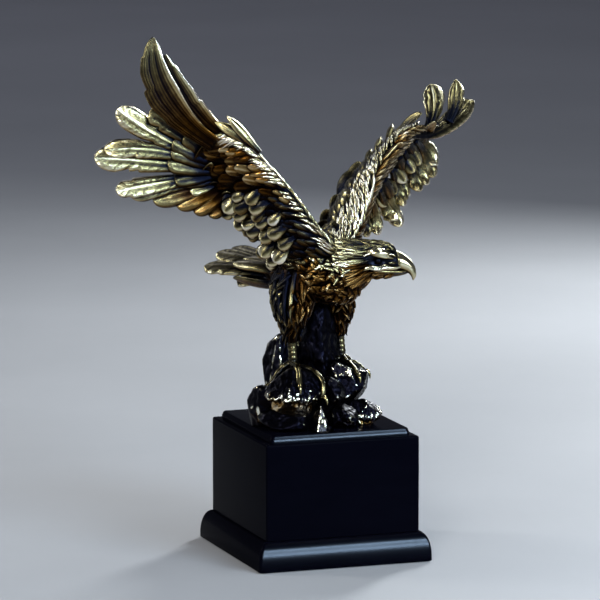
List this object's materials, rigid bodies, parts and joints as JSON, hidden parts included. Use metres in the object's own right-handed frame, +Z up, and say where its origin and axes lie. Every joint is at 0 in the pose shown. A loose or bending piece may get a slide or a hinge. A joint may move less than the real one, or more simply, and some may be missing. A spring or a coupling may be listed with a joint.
{
  "type": "bronze eagle statuette",
  "caption": "Landing eagle with raised, spread wings on a group of rocks, cast in antique bronze, on a black wooden base with a moulded foot.",
  "frame": {"origin": "centre of the underside of the base, on the face of the felt that it stands on", "axes": "+Z up; +X to the right along the front of the base; -Y out of the front face of the base. The eagle faces 22 degrees from the front, towards +X, and looks along +X."},
  "size_m": [0.2735, 0.1327, 0.3302],
  "materials": {
    "eagle_bronze": "glossy antique bronze: bright worn high points, olive-gold middle tones, near-black patina in the recesses",
    "rock_bronze": "the same casting metal left almost black, with bright rubbed edges",
    "black_lacquered_wood": "black satin-gloss lacquer",
    "plain_wood": "bare planed softwood, hidden inside",
    "black_felt": "black felt",
    "screw_steel": "zinc-plated steel",
    "pin_steel": "plain steel"
  },
  "bodies": {
    "root": {"back_panel": "black_lacquered_wood", "body": "eagle_bronze", "corner_block_back_left": "plain_wood", "corner_block_back_right": "plain_wood", "corner_block_front_left": "plain_wood", "corner_block_front_right": "plain_wood", "felt_pad": "black_felt", "front_panel": "black_lacquered_wood", "head": "eagle_bronze", "left_foot_pin": "pin_steel", "left_leg": "eagle_bronze", "left_panel": "black_lacquered_wood", "left_primaries": "eagle_bronze", "left_secondaries": "eagle_bronze", "left_stud": "pin_steel", "left_stud_nut": "pin_steel", "left_stud_washer": "pin_steel", "left_wing_arm": "eagle_bronze", "left_wing_pin": "pin_steel", "neck_pin": "pin_steel", "plinth_board": "black_lacquered_wood", "plinth_screw_back_left": "screw_steel", "plinth_screw_back_right": "screw_steel", "plinth_screw_front_left": "screw_steel", "plinth_screw_front_right": "screw_steel", "right_foot_pin": "pin_steel", "right_leg": "eagle_bronze", "right_panel": "black_lacquered_wood", "right_primaries": "eagle_bronze", "right_secondaries": "eagle_bronze", "right_stud": "pin_steel", "right_stud_nut": "pin_steel", "right_stud_washer": "pin_steel", "right_wing_arm": "eagle_bronze", "right_wing_pin": "pin_steel", "rock_base": "rock_bronze", "tail": "eagle_bronze", "tail_pin": "pin_steel", "top_board": "black_lacquered_wood"}
  },
  "joints": []
}
